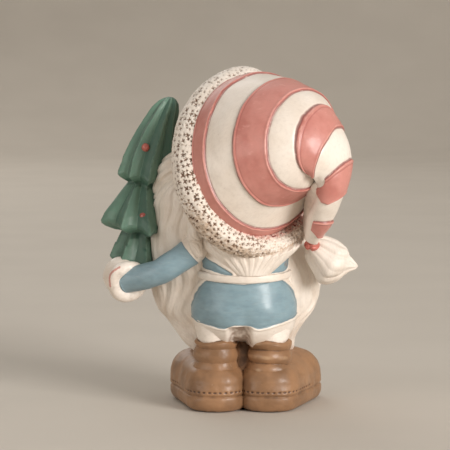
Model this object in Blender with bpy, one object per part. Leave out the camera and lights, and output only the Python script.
"""Dwarf figurine: a small Christmas ornament cast in one piece of resin.

Sizes are millimetres, turned into metres where a mesh is made. X runs to the dwarf's right,
Y the way that he faces and Z up. While modelling, X = 0 is midway between the boots and
Z = 0 is the ground. At the end the whole casting is
moved so that the origin lies on the ground under the middle of the figure.
"""

import math

import bmesh
import bpy
import numpy as np

MM = 0.001

# Boots: sole, foot and wrinkled shaft
boot_spread = 8.0  # from the middle of the figure to each heel's middle
heel_y = -6.5
heel_radius = 9.3
toe_radius = 10.4
toe_ahead = 18.5  # heel's middle to toe's middle, along Y
toe_splay_left = 3.9  # how far each toe turns out
toe_splay_right = 5.9
sole_height = 4.9
sole_edge_round = 2.4
welt_groove = 0.7
foot_height = 15.8
shaft_radius = 6.2
shaft_top = 21.0
shaft_folds = 3
fold_depth = 0.7

# Legs and coat
leg_radius = 5.8
torso_y = -1.5
coat_half_width = 16.1
coat_half_depth = 14.8
coat_widest = 29.5  # height where the skirt is fullest
coat_hem = 19.0
waist_height = 41.0
waist_half_width = 13.2
shoulder_height = 56.0
belt_width = 2.3
belt_drop = 0.6  # from the waist down to the belt's middle
belt_proud = 0.9
belt_sag = 0.6  # the belt hangs lower in the middle of the back

# Head, turned to the dwarf's left, with the hat drawn over it like a hood
head_x = 2.0
head_y = -0.5
head_height = 74.5
head_turn = 34.6  # degrees
head_nod = 5.9  # degrees, chin towards the chest
head_lean = 0.3  # how much farther back the nape lies than the brow, a millimetre in height
head_radius = 21.5
face_bulge = 12.5
face_rise = 4.0  # the features lie round a point this far over the head's middle
brim_middle = (1.4, -0.8, -0.4)  # from the head's middle
brim_radius = 24.4  # to the middle of the roll
brim_roll = 4.0  # half the roll's thickness, across the ring
brim_roll_width = 5.4  # half the roll's width, along the hat
brim_dent = 2.8  # how far the roll is pressed in where the hat swells out beside it
brim_stitch_count = 40
brim_stitch_depth = 0.6

# Hat: rings where the stripes meet, each with its middle from the head's middle, the way it
# faces and its radius
hat_rings = (
    ((1.7, -4.5, 1.7), (0.61, -0.79, 0.09), 23.5),
    ((4.3, -8.5, 3.1), (0.62, -0.78, 0.06), 22.5),
    ((8.8, -16.0, 5.8), (0.64, -0.76, -0.03), 18.3),
    ((15.0, -22.3, 6.9), (0.66, -0.74, -0.07), 14.2),
    ((19.0, -24.2, 7.0), (0.77, -0.61, -0.14), 10.0),
    ((22.6, -21.7, 2.6), (0.85, -0.36, -0.39), 8.7),
    ((24.5, -19.0, -3.1), (0.62, -0.20, -0.76), 6.6),
    ((22.3, -15.6, -9.8), (0.33, 0.25, -0.91), 6.4),
    ((20.1, -10.6, -16.3), (-0.20, 0.50, -0.84), 4.7),
    ((18.0, -5.4, -21.3), (-0.30, 0.58, -0.76), 3.0),
    ((17.7, -2.0, -23.4), (-0.30, 0.60, -0.74), 2.0),
)
tail_web_path = ((18.6, -16.9, -6.6), (18.0, -13.4, -13.0), (17.0, -8.3, -18.6), (16.2, -4.0, -22.6))
tail_web_radii = (2.2, 2.8, 2.8, 1.9)
stripe_proud = 0.65
stripe_edge = 0.06  # share of a stripe in which it rises
least_step = 0.12  # the rings are never closer than this, also inside the fold

# Tassel at the hat's tip
tassel_length = 14.5
tassel_radius = 6.9
tassel_drop = 7.2  # from the hat's tip to the tassel's middle
tassel_ahead = 5.0
tassel_folds = 7
tassel_fold_depth = 0.55
knot_radius = 1.9

# Beard and hair
beard_half_width = 25.3
beard_half_depth = 14.1
beard_middle_x = -2.0
beard_middle_y = 8.9
beard_front_round = 2.5  # exponent of the plan outline: 2 is an ellipse
beard_strand_count = 21
beard_strand_depth = 1.1
beard_tip = 6.0
hair_strand_count = 12
hair_strand_depth = 0.6
hair_tip = 41.0
hair_half_width = 18.5
hair_back = 15.6  # how far behind Y = 0 the hair lies on the coat
side_lock_radius = 4.8
shoulder_lock_radius = 2.3
fringe_radius = 2.6

# Face
nose_radius = 5.0
moustache_radius = 3.2
moustache_reach = 12.5
brow_radius = 1.7
brow_reach = 8.5
eye_radius = 1.3
cheek_radius = 4.6
whisker_radius = 5.5

# Arms
sleeve_radius = 4.1
cuff_radius = 6.4
cuff_roll = 2.0
mitten_radius = 5.4
left_hand_reach = 36.8  # from X = 0
left_hand_ahead = 2.2
tree_grip = 4.0  # the hand's middle lies this far under the tree's foot
right_hand_reach = 11.5
right_hand_ahead = 24.5
right_hand_height = 39.0

# Tree in the left mitten
tree_pleats = 9
pleat_depth = 0.13  # share of the radius
tree_foot = 43.0
tree_top = 93.0
tree_half_width = 11.6
tree_tier_tilt = 0.2  # the tiers' left sides stand this much higher, a millimetre across
tree_tip_bend = 7.2  # the tip bends this far to the right
bauble_radius = 1.25

least_grain = 0.05  # cubic millimetres


def spline(rows, at):
    """Smooth values between rows (Catmull-Rom), at row numbers that may be fractions."""
    rows = np.asarray(rows, float)
    at = np.clip(np.asarray(at, float), 0, len(rows) - 1)
    first = np.minimum(at.astype(int), len(rows) - 2)
    part = (at - first)[:, None]
    before = rows[np.maximum(first - 1, 0)]
    start = rows[first]
    end = rows[first + 1]
    after = rows[np.minimum(first + 2, len(rows) - 1)]
    return 0.5 * (
        2 * start
        + (end - before) * part
        + (2 * before - 5 * start + 4 * end - after) * part**2
        + (3 * start - before - 3 * end + after) * part**3
    )


def unit(vector):
    vector = np.asarray(vector, float)
    return vector / np.linalg.norm(vector)


def turn_of(count):
    return np.linspace(0, 2 * math.pi, count, endpoint=False)


def casting_form(name, rings, collection):
    """One closed skin through rings of points, each end closed by a fan to its middle."""
    rings = [np.asarray(ring, float) * MM for ring in rings]
    count = len(rings[0])
    points = np.vstack(rings + [rings[0].mean(axis=0), rings[-1].mean(axis=0)])
    first_pole = len(points) - 2
    last_pole = len(points) - 1
    last_ring = (len(rings) - 1) * count
    faces = []
    for k in range(count):
        following = (k + 1) % count
        for row in range(len(rings) - 1):
            low = row * count
            high = low + count
            faces.append((low + k, low + following, high + following, high + k))
        faces.append((following, k, first_pole))
        faces.append((last_ring + k, last_ring + following, last_pole))
    return mesh_object(name, points, faces, collection)


def mesh_object(name, points, faces, collection):
    mesh = bpy.data.meshes.new(name)
    mesh.from_pydata(points.tolist(), [], faces)
    mesh.update()
    if signed_volume(mesh) < 0:
        mesh.flip_normals()
    form = bpy.data.objects.new(name, mesh)
    collection.objects.link(form)
    return form


def signed_volume(mesh):
    mesh.calc_loop_triangles()
    corners = np.array([[mesh.vertices[v].co for v in t.vertices] for t in mesh.loop_triangles])
    return np.linalg.det(corners).sum()


def ellipse_ring(middle, normal, side, radius, height=None, count=16):
    """Ring of points round middle, square to normal; side says where it starts."""
    normal = unit(normal)
    across = unit(np.asarray(side, float) - np.dot(side, normal) * normal)
    up = np.cross(normal, across)
    turn = turn_of(count)[:, None]
    height = radius if height is None else height
    return np.asarray(middle, float) + radius * np.cos(turn) * across + height * np.sin(turn) * up


def ball(name, middle, radii, axis, collection, rings=7, count=12):
    """Ellipsoid whose poles lie on axis; radii are along the axis, across it and up."""
    axis = unit(axis)
    side = (0, 0, 1) if abs(axis[2]) < 0.9 else (1, 0, 0)
    tilt = np.linspace(0, math.pi, rings + 2)[1:-1]
    shells = [
        ellipse_ring(
            np.asarray(middle) - radii[0] * math.cos(t) * axis,
            axis,
            side,
            radii[2] * math.sin(t),
            radii[1] * math.sin(t),
            count,
        )
        for t in tilt
    ]
    return casting_form(name, shells, collection)


def tube(name, path, radii, collection, count=12, steps=3, side=(0, 0, 1)):
    """Round bar along a smooth path, thinning as radii say, with a blunt rounded end."""
    at = np.linspace(0, len(path) - 1, (len(path) - 1) * steps + 1)
    middles = spline(path, at)
    widths = spline(np.asarray(radii, float)[:, None], at)[:, 0]
    headings = np.gradient(middles, axis=0)
    rings = [ellipse_ring(m, h, side, w, count=count) for m, h, w in zip(middles, headings, widths)]
    ends = [(0, -1), (-1, 1)]
    for end, way in ends:
        cap = ellipse_ring(
            middles[end] + way * 0.6 * widths[end] * unit(headings[end]),
            headings[end],
            side,
            0.6 * widths[end],
            count=count,
        )
        rings.insert(0 if way < 0 else len(rings), cap)
    return casting_form(name, rings, collection)


def head_frame():
    """Head's middle, the way the hat's crown points, the way across and the way up."""
    turn = math.radians(head_turn)
    nod = math.radians(head_nod)
    crown = np.array(
        (math.sin(turn) * math.cos(nod), -math.cos(turn) * math.cos(nod), math.sin(nod))
    )
    across = unit(np.cross(crown, (0, 0, 1)))
    up = np.cross(across, crown)
    return np.array((head_x, head_y, head_height)), crown, across, up


def leant(points):
    """Points of the head moved so that the crown leans forward over the nape."""
    moved = np.array(points, float)
    moved[..., 1] += head_lean * (moved[..., 2] - head_height)
    return moved


def on_face(right, up, out):
    """Point on the face: right of its middle, up from it, and out from the head's middle."""
    middle, crown, across, rise = head_frame()
    return leant(middle - across * right + rise * (up + face_rise) - crown * out)


def foot_outline(inset_heel, inset_toe, side, height, count=10):
    """Outline round heel and toe circles, drawn in, at a height above the ground."""
    heel = np.array((side * boot_spread, heel_y))
    splay = toe_splay_left if side < 0 else toe_splay_right
    toe = heel + np.array((side * splay, toe_ahead))
    small = max(heel_radius - inset_heel, 0.2)
    large = max(toe_radius - inset_toe, 0.3)
    along = toe - heel
    lean = math.acos((small - large) / np.linalg.norm(along))
    heading = math.atan2(along[1], along[0])
    toe_turn = np.linspace(-lean, lean, count)
    heel_turn = np.linspace(lean, 2 * math.pi - lean, count)
    angles = heading + np.concatenate((toe_turn, heel_turn))
    radii = np.repeat((large, small), count)
    middles = np.repeat((toe, heel), count, axis=0)
    plan = middles + radii[:, None] * np.column_stack((np.cos(angles), np.sin(angles)))
    return np.column_stack((plan, np.full(len(plan), height)))


def make_boot(label, side, collection):
    """Rounded sole, groove over the welt, puffed foot and a shaft with wrinkles."""
    upper = foot_height - sole_height
    slices = (
        (sole_edge_round, sole_edge_round, 0.0),
        (0.45 * sole_edge_round, 0.45 * sole_edge_round, 0.12 * sole_height),
        (0.12 * sole_edge_round, 0.12 * sole_edge_round, 0.35 * sole_height),
        (0.0, 0.0, 0.6 * sole_height),
        (0.1, 0.1, 0.85 * sole_height),
        (welt_groove + 0.1, welt_groove + 0.1, sole_height),
        (0.2, 0.1, sole_height + 0.12 * upper),
        (0.5, 0.2, sole_height + 0.35 * upper),
        (2.0, 0.12 * toe_radius, sole_height + 0.62 * upper),
        (0.55 * heel_radius, 0.32 * toe_radius, sole_height + 0.84 * upper),
        (0.85 * heel_radius, 0.62 * toe_radius, sole_height + 0.97 * upper),
    )
    rings = [foot_outline(heel, toe, side, height) for heel, toe, height in slices]
    casting_form(f"foot_{label}", rings, collection)

    middle = np.array((side * boot_spread, heel_y))
    bottom = sole_height + 0.2 * upper
    rows = 3 * shaft_folds + 2
    turn = turn_of(16)
    shaft = []
    for k in range(rows):
        share = k / (rows - 1)
        wave = math.cos(2 * math.pi * share * shaft_folds)
        slant = 0.5 * np.sin(turn + side * share * 4)
        radius = shaft_radius + 0.5 * (1 - share) + fold_depth * wave * (0.8 + 0.4 * np.cos(turn))
        height = bottom + share * (shaft_top - bottom) + slant
        shaft.append(
            np.column_stack((middle[0] + radius * np.cos(turn), middle[1] + radius * np.sin(turn), height))
        )
    casting_form(f"boot_shaft_{label}", shaft, collection)

    leg = [
        ellipse_ring((middle[0], middle[1] + lift, height), (0, 0, 1), (1, 0, 0), radius, count=16)
        for lift, height, radius in (
            (0.0, shaft_top - 5, leg_radius - 0.8),
            (0.0, shaft_top, leg_radius - 0.3),
            (0.8, shaft_top + 3, leg_radius + 0.4),
            (2.0, shaft_top + 8, leg_radius + 1.0),
        )
    ]
    casting_form(f"trouser_leg_{label}", leg, collection)


def make_leg_web(collection):
    """The casting isn't pierced between the legs: a web set back between them joins skirt and soles."""
    low = 0.5 * sole_height
    high = coat_hem + 2.0
    radii = (0.5 * (high - low), 0.62 * shaft_radius, 0.62 * boot_spread)
    middle = (0.0, heel_y + 0.55 * shaft_radius, 0.5 * (low + high))
    ball("leg_web", middle, radii, (0, 0, 1), collection, 6, 12)


def torso_ring(height, half_width, half_depth, count=24):
    return ellipse_ring((0.3, torso_y, height), (0, 0, 1), (1, 0, 0), half_width, half_depth, count)


def make_coat(collection):
    """Barrel body with a full skirt, drawn in at the waist, and the belt round it."""
    flare = coat_widest - coat_hem
    depth_share = coat_half_depth / coat_half_width
    waist_depth = 0.96 * waist_half_width
    rings = [
        torso_ring(coat_hem, 0.66 * coat_half_width, 0.6 * coat_half_depth),
        torso_ring(coat_hem + 0.22 * flare, 0.84 * coat_half_width, 0.8 * coat_half_depth),
        torso_ring(coat_hem + 0.55 * flare, 0.955 * coat_half_width, 0.95 * coat_half_depth),
        torso_ring(coat_widest, coat_half_width, coat_half_depth),
        torso_ring(0.6 * coat_widest + 0.4 * waist_height, 0.965 * coat_half_width, 0.965 * coat_half_depth),
        torso_ring(0.25 * coat_widest + 0.75 * waist_height, 1.06 * waist_half_width, 1.06 * waist_depth),
        torso_ring(waist_height, waist_half_width, waist_depth),
        torso_ring(0.6 * waist_height + 0.4 * shoulder_height, 1.04 * waist_half_width, 0.96 * waist_depth),
        torso_ring(shoulder_height, waist_half_width, 0.9 * depth_share * waist_half_width),
    ]
    casting_form("coat", rings, collection)

    turn = turn_of(24)
    sag = belt_sag * np.clip(-np.sin(turn), 0, None) ** 1.5
    section = ((-0.5, -1.2), (-0.5, 0.6), (-0.25, 1.0), (0.25, 1.0), (0.5, 0.6), (0.5, -1.2))
    hoops = []
    for lift, proud in section:
        grow = belt_proud * proud + 0.9
        height = waist_height - belt_drop + lift * belt_width
        hoop = torso_ring(height, waist_half_width + grow, waist_depth + grow)
        hoop[:, 2] -= sag
        hoops.append(hoop)
    closed_hoop("belt", hoops, collection)


def closed_hoop(name, hoops, collection):
    """Skin through rings whose last one meets the first again, such as a belt or a roll."""
    count = len(hoops[0])
    points = np.vstack(hoops) * MM
    faces = []
    for row in range(len(hoops)):
        low = row * count
        high = (row + 1) % len(hoops) * count
        for k in range(count):
            following = (k + 1) % count
            faces.append((low + k, low + following, high + following, high + k))
    return mesh_object(name, points, faces, collection)


def make_hat(collection):
    """Soft cone whose tip folds down to the right; every other stripe stands proud."""
    middle, crown, across, up = head_frame()
    at = [0.0]
    for band in range(len(hat_rings) - 1):
        at += [band + stripe_edge, band + 0.5, band + 1 - stripe_edge]
    at += [len(hat_rings) - 1.0]
    at = np.array(at)
    rows = np.array([[*place, *facing, radius] for place, facing, radius in hat_rings])
    smooth = spline(rows, at)
    count = 25
    rings = [leant(ellipse_ring(middle, crown, across, 0.9 * rows[0, 6], count=count))]
    for share, row in zip(at, smooth):
        raised = stripe_proud if int(share) % 2 == 0 and share - int(share) > 0.01 else 0.0
        ring = ellipse_ring(middle + row[:3], row[3:6], across, max(row[6] + raised, 0.5), count=count)
        if share > 0:
            facing = unit(row[3:6])
            step = (ring - before) @ facing
            ring += np.clip(least_step - step, 0, None)[:, None] * facing
        before = ring
        rings.append(leant(ring))
    casting_form("hat", rings, collection)
    path = leant(middle + np.array(tail_web_path))
    tube("tail_web", path, np.array(tail_web_radii), collection, 8, 2)


def make_brim(collection):
    """Thick knitted roll round the head, its stitches as a chequer of bumps."""
    middle, crown, across, up = head_frame()
    turn = turn_of(2 * brim_stitch_count)
    beside = np.clip((0.1 - np.cos(turn)) / 0.4, 0, 1) * np.clip(np.sin(turn) / 0.5, 0, 1)
    radius = brim_radius - brim_dent * beside * beside * (3 - 2 * beside)
    rows = 10
    hoops = []
    for row in range(rows):
        around = 2 * math.pi * row / rows
        knob = (row % 2 == 0) & ((np.arange(len(turn)) + row // 2) % 2 == 0)
        bump = brim_stitch_depth * np.where(knob, 0.5, -0.5)
        out = (brim_roll + bump) * math.cos(around)
        along = (brim_roll_width + bump) * math.sin(around)
        ring = (
            middle
            + brim_middle
            + (radius + out)[:, None] * (np.cos(turn)[:, None] * across + np.sin(turn)[:, None] * up)
            + along[:, None] * crown
        )
        hoops.append(leant(ring))
    closed_hoop("hat_brim", hoops, collection)


def beard_slices():
    """Height, middle X and Y, half width, half depth and turn in degrees, from the cheeks down to the tip."""
    x = beard_middle_x
    y = beard_middle_y
    width = beard_half_width
    depth = beard_half_depth
    waist = waist_height + 1.0
    fall = waist - beard_tip
    return np.array(
        (
            (head_height - 1.5, head_x - 4.5, head_y + 5.5, 0.55 * width, 0.25 * depth, head_turn),
            (head_height - 4.5, head_x - 6.0, head_y + 6.0, 0.73 * width, 0.43 * depth, head_turn),
            (head_height - 10.0, head_x - 7.3, head_y + 7.5, 0.86 * width, 0.71 * depth, 0.85 * head_turn),
            (head_height - 17.0, head_x - 6.2, head_y + 9.0, 0.945 * width, 0.91 * depth, 0.65 * head_turn),
            (head_height - 24.5, x - 0.6, y - 0.1, 0.985 * width, 0.99 * depth, 0.35 * head_turn),
            (waist, x, y, width, depth, 5.0),
            (waist - 0.19 * fall, x + 0.4, y, 0.99 * width, 0.96 * depth, 0.0),
            (waist - 0.35 * fall, x + 0.6, y, 0.92 * width, 0.89 * depth, 0.0),
            (waist - 0.47 * fall, x + 0.2, y, 0.81 * width, 0.82 * depth, 0.0),
            (waist - 0.61 * fall, x + 0.4, y + 0.4, 0.68 * width, 0.73 * depth, 0.0),
            (waist - 0.72 * fall, x + 1.8, y + 1.1, 0.59 * width, 0.62 * depth, 0.0),
            (waist - 0.83 * fall, x + 2.3, y + 2.6, 0.39 * width, 0.43 * depth, 0.0),
            (waist - 0.94 * fall, x + 2.5, y + 4.4, 0.18 * width, 0.23 * depth, 0.0),
            (beard_tip, x + 2.5, y + 4.9, 0.06 * width, 0.09 * depth, 0.0),
        )
    )


def lock_drift(row, turn):
    """How far a lock of the beard wanders round the figure on its way down."""
    return 0.11 * np.sin(0.9 * row + 2 * turn) + 0.05 * np.sin(2.1 * row + 5 * turn + 0.7)


def make_beard(collection):
    """Broad beard that wraps round both sides, combed into wavy strands."""
    slices = beard_slices()
    at = np.linspace(0, len(slices) - 1, 16)
    count = 2 * beard_strand_count
    turn = turn_of(count)
    power = 2 / beard_front_round
    rings = []
    for row, (height, x, y, half_width, half_depth, yaw) in zip(at, spline(slices, at)):
        angle = turn - lock_drift(row, turn) + 0.16 * math.sin(1.35 * row) + 0.07 * row
        comb = 0.5 * beard_strand_depth * (-1.0) ** np.arange(count) * min(1.0, row, 0.5 * (at[-1] - row))
        along = np.sign(np.cos(angle)) * np.abs(np.cos(angle)) ** power * (half_width + comb)
        ahead = np.sign(np.sin(angle)) * np.abs(np.sin(angle)) ** power * (half_depth + comb)
        cosine = math.cos(math.radians(yaw))
        sine = math.sin(math.radians(yaw))
        rings.append(
            np.column_stack(
                (x + cosine * along - sine * ahead, y + sine * along + cosine * ahead, np.full(count, height))
            )
        )
    casting_form("beard", rings, collection)


def make_hair(collection):
    """Hair on the nape: a tongue that lies on the coat's back and ends in a point over the belt."""
    top = head_height - 12
    fall = top - hair_tip
    rows = (
        (0.0, 0.62, 4.5),
        (0.25, 0.72, 3.0),
        (0.42, 0.82, 1.0),
        (0.6, 0.78, 0.0),
        (0.75, 0.58, 0.0),
        (0.88, 0.34, 0.0),
        (1.0, 0.1, 0.0),
    )
    count = 2 * hair_strand_count
    turn = turn_of(count)
    rings = []
    for share, width, tuck in rows:
        comb = 0.5 * hair_strand_depth * (-1.0) ** np.arange(count)
        depth = 10.0 - 4.0 * share
        x = 2.4 + (hair_half_width * width + comb) * np.cos(turn)
        y = depth + tuck - hair_back + (depth + comb) * np.sign(np.sin(turn)) * np.abs(np.sin(turn)) ** 0.8
        rings.append(np.column_stack((x, y, np.full(count, top - share * fall))))
    casting_form("nape_hair", rings, collection)


def make_side_locks(collection):
    """Hair that comes out under the brim: beside the face on the left, and over the left shoulder."""
    head = np.array((head_x, head_y, head_height))
    path = ((-17.0, 0.5, 1.0), (-22.5, 2.0, -3.0), (-24.3, 4.0, -10.5), (-23.5, 5.5, -18.5))
    beside = head + np.array(path)
    tube("side_lock", beside, np.array((0.62, 0.92, 1.0, 0.85)) * side_lock_radius, collection, 8, 1)
    shoulder = np.array((-waist_half_width, torso_y, shoulder_height))
    path = ((-0.3, -7.5, 1.0), (-0.8, -9.5, -5.0), (0.3, -10.7, -10.5), (1.6, -10.5, -14.0))
    over = shoulder + np.array(path)
    tube("shoulder_lock", over, np.array((1.3, 1.0, 0.7, 0.35)) * shoulder_lock_radius, collection, 6, 1)


def make_fringe(collection):
    """Curls between the forehead and the brim, thickest over the brow."""
    middle, crown, across, up = head_frame()
    turn = turn_of(16)
    thick = fringe_radius * (0.45 + 0.55 * np.clip(0.3 + 1.2 * np.sin(turn), 0, 1))
    hoops = []
    for around in turn_of(5):
        spoke = np.cos(turn)[:, None] * across + np.sin(turn)[:, None] * up
        out = (head_radius - 2.0 + thick * math.cos(around))[:, None] * spoke
        hoops.append(leant(middle + out - (0.4 * face_bulge + thick * math.sin(around))[:, None] * crown))
    closed_hoop("fringe", hoops, collection)


def make_tassel(collection):
    """Drop-shaped tassel with folds that sweep to its point, and the red knot that ties it on."""
    tip = leant(head_frame()[0] + np.array(hat_rings[-1][0]))
    start = tip + np.array((0.3, tassel_ahead, -tassel_drop))
    way = unit((1.0, 0.08, -0.11))
    shape = (
        (0.0, 0.62),
        (0.1, 0.86),
        (0.25, 1.0),
        (0.42, 0.97),
        (0.6, 0.8),
        (0.75, 0.53),
        (0.87, 0.26),
        (1.0, 0.07),
    )
    count = 3 * tassel_folds
    turn = turn_of(count)
    rings = []
    for share, width in shape:
        ring = ellipse_ring(start + share * tassel_length * way, way, (0, 0, 1), 1.0, count=count)
        core = start + share * tassel_length * way
        swirl = np.cos(tassel_folds * (turn + 1.6 * share))
        radius = tassel_radius * width + tassel_fold_depth * swirl * width
        rings.append(core + (ring - core) * radius[:, None])
    casting_form("tassel", rings, collection)
    knot = tip + knot_radius * np.array((0.4, 0.5, -0.6))
    radii = (1.3 * knot_radius, 1.4 * knot_radius, knot_radius)
    ball("tassel_knot", knot, radii, (1, 0, -0.1), collection, 5, 10)


def make_face(collection):
    """Plain round face inside the brim: cheeks, nose, brows, eyes and a moustache."""
    middle, crown, across, up = head_frame()
    tilt = np.linspace(0, math.pi, 11)[1:-1]
    shells = []
    for t in tilt:
        centre = middle - face_bulge * math.cos(t) * crown
        shells.append(leant(ellipse_ring(centre, crown, across, head_radius * math.sin(t), count=18)))
    casting_form("head", shells, collection)
    ball("nose", on_face(0, -2.5, face_bulge + 2.5), (nose_radius,) * 3, crown, collection)
    for label, side in (("left", -1), ("right", 1)):
        whiskers = on_face(side * 16.5, -4.5, 0.5 * face_bulge)
        ball(f"whiskers_{label}", whiskers, (5.5, whisker_radius, 7.0), crown, collection, 5, 10)
        cheek = on_face(side * 8.5, -4.5, 0.72 * face_bulge)
        ball(f"cheek_{label}", cheek, (0.8 * cheek_radius, cheek_radius, cheek_radius), crown, collection)
        eye = on_face(side * 5.6, 3.4, 0.9 * face_bulge)
        ball(f"eye_{label}", eye, (eye_radius, eye_radius, 1.2 * eye_radius), crown, collection, 5, 8)
        brow = [
            on_face(side * (2.6 + reach * brow_reach), 6.8 + rise, face_bulge * out)
            for reach, rise, out in ((0.0, 1.6, 0.97), (0.45, 1.8, 0.93), (1.0, -1.2, 0.78))
        ]
        tube(f"brow_{label}", brow, (0.9 * brow_radius, brow_radius, 0.5 * brow_radius), collection, 8, 2)
        lip = [
            on_face(side * (0.8 + reach * moustache_reach), -6.4 - drop, face_bulge + out)
            for reach, drop, out in ((0.0, 0.0, 2.6), (0.3, 0.8, 4.0), (0.65, 3.8, 4.2), (1.0, 3.0, 1.6))
        ]
        widths = [moustache_radius * w for w in (0.9, 1.0, 0.75, 0.25)]
        tube(f"moustache_{label}", lip, widths, collection, 10, 2)


def make_arm(label, path, collection):
    """Sleeve, rolled cuff and mitten along a path from the shoulder to the hand."""
    path = np.array(path, float)
    sleeve = np.vstack((path[:2], path[2] + 0.25 * (path[3] - path[2])))
    radii = (1.05 * sleeve_radius, 0.96 * sleeve_radius, sleeve_radius)
    tube(f"sleeve_{label}", sleeve, radii, collection, 14)
    wrist = path[2]
    way = unit(path[3] - path[2])
    turn = turn_of(8)
    side = (0, 0, 1)
    hoops = []
    for around in turn:
        radius = cuff_radius - cuff_roll + cuff_roll * math.cos(around)
        place = wrist + (0.3 * cuff_roll + cuff_roll * math.sin(around)) * way
        hoops.append(ellipse_ring(place, way, side, radius, count=16))
    closed_hoop(f"cuff_{label}", hoops, collection)
    ball(
        f"mitten_{label}",
        path[3],
        (1.15 * mitten_radius, mitten_radius, 1.1 * mitten_radius),
        way,
        collection,
        7,
        12,
    )


def left_hand():
    return np.array((-left_hand_reach, left_hand_ahead, tree_foot - tree_grip))


def make_arms(collection):
    hand = left_hand()
    left = (
        (2.7 - waist_half_width, torso_y - 4.0, shoulder_height - 5.0),
        (-0.64 * left_hand_reach, torso_y - 6.1, hand[2] + 3.0),
        (hand[0] + 0.45 * mitten_radius, hand[1] - 1.05 * mitten_radius, hand[2] - 1.2),
        hand,
    )
    make_arm("left", left, collection)
    hand = np.array((right_hand_reach, right_hand_ahead, right_hand_height))
    right = (
        (waist_half_width + 1.8, torso_y + 7.5, shoulder_height - 7.0),
        (waist_half_width + 8.8, 0.57 * right_hand_ahead, hand[2] + 5.0),
        (hand[0] + 1.3 * mitten_radius, hand[1] - 0.75 * mitten_radius, hand[2] + 1.5),
        hand,
    )
    make_arm("right", right, collection)


def tree_spine(share):
    """Middle of the tree at a share of its height; the tip leans to the right."""
    hand = left_hand()
    x = hand[0] + 5.6 + 2.2 * share + tree_tip_bend * max(share, 0.0) ** 3.2
    return np.array((x, hand[1] + 5.2 - 1.0 * share, tree_foot + share * (tree_top - tree_foot)))


def make_tree(collection):
    """Three pleated tiers that narrow to a leaning tip, and round baubles on the pleats."""
    tiers = (
        (-0.06, 0.50),
        (0.0, 0.74),
        (0.18, 0.48),
        (0.19, 0.74),
        (0.22, 1.0),
        (0.28, 0.93),
        (0.475, 0.44),
        (0.485, 0.52),
        (0.52, 0.72),
        (0.56, 0.69),
        (0.78, 0.475),
        (0.93, 0.345),
        (0.975, 0.26),
        (1.0, 0.11),
    )
    count = 2 * tree_pleats
    turn = turn_of(count)
    crease = 1 + pleat_depth * (-1.0) ** np.arange(count)
    rings = []
    for share, width in tiers:
        middle = tree_spine(share)
        radius = tree_half_width * width * crease
        sag = -1.2 * width * (crease > 1) * (0.1 < share < 0.6) - tree_tier_tilt * radius * np.cos(turn)
        rings.append(middle + np.column_stack((radius * np.cos(turn), radius * np.sin(turn), sag)))
    casting_form("tree", rings, collection)
    for number, (share, angle, width) in enumerate(bauble_places()):
        middle = tree_spine(share)
        place = middle + tree_half_width * width * np.array((math.cos(angle), math.sin(angle), 0))
        outward = (math.cos(angle), math.sin(angle), 0)
        ball(f"bauble_{number}", place, (bauble_radius,) * 3, outward, collection, 3, 8)


def bauble_places():
    """Share of the tree's height, angle round it and share of its half width for each bauble."""
    return (
        (0.70, -1.90, 0.52),
        (0.34, -1.35, 0.72),
        (0.64, 2.60, 0.58),
        (0.28, 2.90, 0.84),
        (0.60, 1.30, 0.62),
        (0.36, 1.75, 0.70),
        (0.08, 2.30, 0.62),
    )


def fill_pockets(mesh):
    """The casting is solid: skins that lie inside out within it go, and so do grains too small to cast."""
    skin = bmesh.new()
    skin.from_mesh(mesh)
    bmesh.ops.triangulate(skin, faces=skin.faces)
    left = set(skin.faces)
    spare = []
    while left:
        patch = {left.pop()}
        rim = list(patch)
        while rim:
            sides = [side for side in rim.pop().edges if len(side.link_faces) == 2]
            near = {other for side in sides for other in side.link_faces}
            near -= patch
            patch |= near
            rim += near
        left -= patch
        volume = sum(a.co.dot(b.co.cross(c.co)) for a, b, c in (face.verts for face in patch)) / 6
        if volume < least_grain * MM**3:
            spare += patch
    bmesh.ops.delete(skin, geom=spare, context="FACES")
    skin.to_mesh(mesh)
    skin.free()


def make_casting():
    """All forms melted into one solid, then centred over the ground."""
    forms = bpy.data.collections.new("moulded_forms")
    bpy.context.scene.collection.children.link(forms)
    make_coat(forms)
    for label, side in (("left", -1), ("right", 1)):
        make_boot(label, side, forms)
    make_leg_web(forms)
    make_hat(forms)
    make_brim(forms)
    make_beard(forms)
    make_hair(forms)
    make_side_locks(forms)
    make_fringe(forms)
    make_tassel(forms)
    make_face(forms)
    make_arms(forms)
    make_tree(forms)

    casting = forms.objects["coat"]
    forms.objects.unlink(casting)
    bpy.context.scene.collection.objects.link(casting)
    casting.name = "dwarf_figurine"
    melt = casting.modifiers.new("melt_forms_together", "BOOLEAN")
    melt.operation = "UNION"
    melt.operand_type = "COLLECTION"
    melt.collection = forms
    melt.solver = "EXACT"
    graph = bpy.context.evaluated_depsgraph_get()
    melted = bpy.data.meshes.new_from_object(casting.evaluated_get(graph))
    casting.modifiers.clear()
    casting.data = melted
    for form in list(forms.objects):
        bpy.data.objects.remove(form)
    fill_pockets(melted)

    corners = np.array([vertex.co for vertex in melted.vertices])
    low = corners.min(axis=0)
    high = corners.max(axis=0)
    casting.location = (-0.5 * (low[0] + high[0]), -0.5 * (low[1] + high[1]), -low[2])
    print("centre shift mm", [round(1000 * c, 3) for c in casting.location])
    return casting


def paint(casting):
    """Painted resin with a soft sheen."""
    resin = bpy.data.materials.new("painted_resin")
    resin.use_nodes = True
    surface = resin.node_tree.nodes["Principled BSDF"]
    surface.inputs["Base Color"].default_value = (0.82, 0.78, 0.72, 1)
    surface.inputs["Roughness"].default_value = 0.5
    surface.inputs["Metallic"].default_value = 0.0
    casting.data.materials.clear()
    casting.data.materials.append(resin)


def main():
    for item in list(bpy.data.objects):
        bpy.data.objects.remove(item)
    paint(make_casting())


main()
